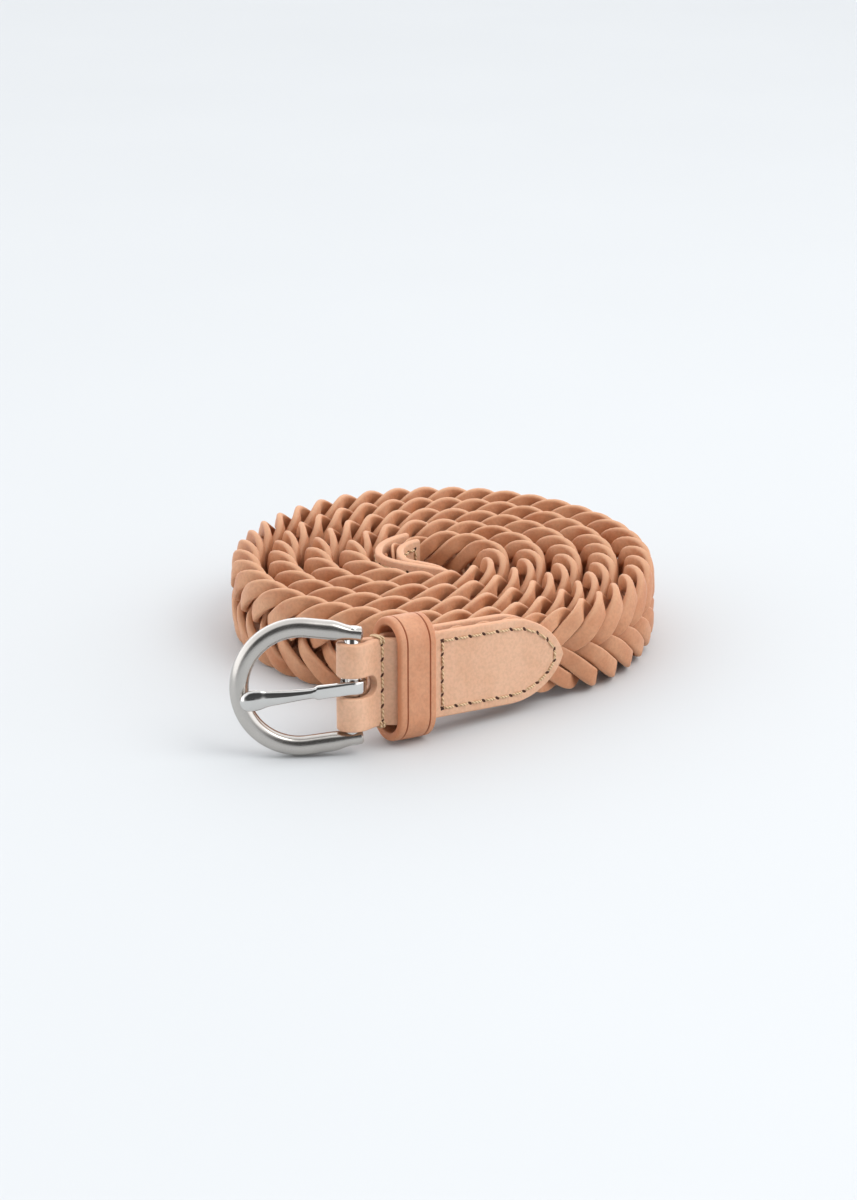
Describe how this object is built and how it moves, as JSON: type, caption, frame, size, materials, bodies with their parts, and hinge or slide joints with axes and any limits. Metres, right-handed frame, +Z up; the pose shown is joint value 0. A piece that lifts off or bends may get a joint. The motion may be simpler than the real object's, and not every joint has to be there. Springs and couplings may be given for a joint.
{
  "type": "braided leather belt",
  "caption": "Narrow plaited leather belt coiled on its edge, with a horseshoe buckle on a folded stitched chape, a loose prong, a sliding keeper and a plain pointed tip.",
  "frame": {"origin": "on the coil's axis, in the plane that the belt rests on", "axes": "+Z up, along the coil's axis and across the strap's width; -Y towards the buckle; +X to the right when the buckle faces the viewer"},
  "size_m": [0.0984, 0.1257, 0.0293],
  "materials": {
    "strand_leather": "natural vegetable-tanned, smooth, cut edges paler",
    "chape_leather": "natural vegetable-tanned, fine grain, satin",
    "keeper_leather": "natural vegetable-tanned, creased along both edges",
    "thread": "waxed linen",
    "buckle_metal": "satin nickel",
    "prong_metal": "polished nickel"
  },
  "bodies": {
    "belt": {"chape": "chape_leather", "fold_stitching": "thread", "tab_stitching": "thread", "strand_1": "strand_leather", "strand_2": "strand_leather", "strand_3": "strand_leather", "strand_4": "strand_leather", "strand_5": "strand_leather", "strand_6": "strand_leather", "strand_7": "strand_leather", "tip_outer": "chape_leather", "tip_inner": "chape_leather", "tip_stitching": "thread"},
    "buckle": {"buckle_frame": "buckle_metal", "buckle_bar": "prong_metal"},
    "prong": {"prong": "prong_metal"},
    "keeper": {"keeper": "keeper_leather", "keeper_stitching": "thread"}
  },
  "joints": [
    {"name": "buckle_swivel", "type": "hinge", "parent": "belt", "child": "buckle", "pos_m": [-0.01684, -0.07023, 0.01465], "axis": [-0.0009, 0.1255, 0.9921], "range_deg": [-40, 55]},
    {"name": "prong_pivot", "type": "hinge", "parent": "buckle", "child": "prong", "pos_m": [-0.01684, -0.07023, 0.01465], "axis": [-0.0009, 0.1255, 0.9921], "range_deg": [0, 85]},
    {"name": "keeper_slide", "type": "slide", "parent": "belt", "child": "keeper", "axis": [0.827, 0.5578, -0.0698], "range_m": [-0.001, 0.0012]}
  ]
}
